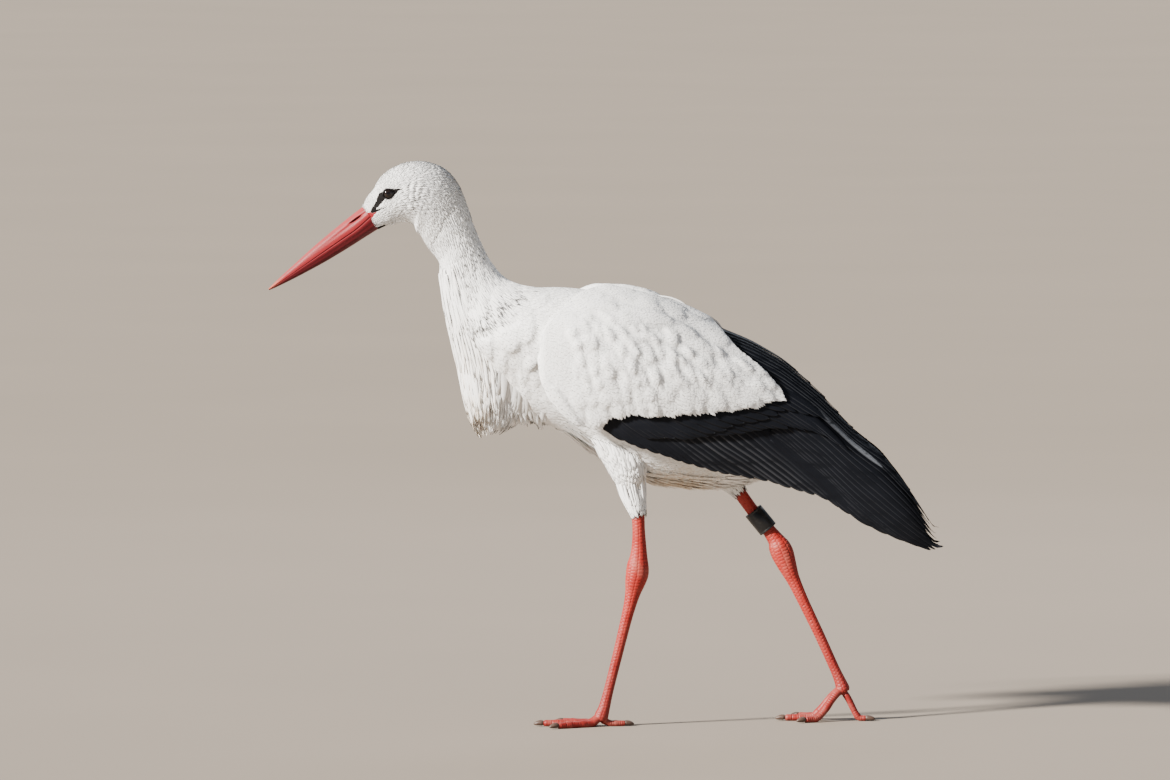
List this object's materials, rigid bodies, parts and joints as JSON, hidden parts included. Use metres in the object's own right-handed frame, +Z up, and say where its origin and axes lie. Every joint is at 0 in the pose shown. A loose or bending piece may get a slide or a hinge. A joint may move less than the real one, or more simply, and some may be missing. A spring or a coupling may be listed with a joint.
{
  "type": "white stork",
  "caption": "White stork walking on level ground, with folded wings, long bill, long legs and a ring on one leg, as a still life-size model",
  "frame": {"origin": "on the ground, at the centre of the bounding box seen from above", "axes": "+X runs from the bill to the tail, so the bird faces -X; +Z is up; the bird's left side is -Y"},
  "size_m": [0.8802, 0.2198, 0.7448],
  "materials": {
    "plumage": "matte",
    "flight_feathers": "satin",
    "bill": "satin",
    "eye": "gloss",
    "leg_skin": "matte",
    "claw": "satin",
    "ring": "satin"
  },
  "bodies": {
    "root": {"head": "plumage", "neck_upper": "plumage", "neck_lower": "plumage", "torso": "plumage", "tail": "plumage", "wing_left": "plumage", "wing_right": "plumage", "flight_left": "flight_feathers", "flight_right": "flight_feathers", "thigh_left": "plumage", "thigh_right": "plumage", "bill_upper": "bill", "bill_lower": "bill", "eye_left": "eye", "eye_right": "eye", "shank_left": "leg_skin", "shank_right": "leg_skin", "hock_left": "leg_skin", "hock_right": "leg_skin", "tarsus_left": "leg_skin", "tarsus_right": "leg_skin", "toe_middle_left": "leg_skin", "toe_inner_left": "leg_skin", "toe_outer_left": "leg_skin", "toe_hind_left": "leg_skin", "toe_middle_right": "leg_skin", "toe_inner_right": "leg_skin", "toe_outer_right": "leg_skin", "toe_hind_right": "leg_skin", "claw_middle_left": "claw", "claw_inner_left": "claw", "claw_outer_left": "claw", "claw_hind_left": "claw", "claw_middle_right": "claw", "claw_inner_right": "claw", "claw_outer_right": "claw", "claw_hind_right": "claw", "leg_ring": "ring"}
  },
  "joints": []
}
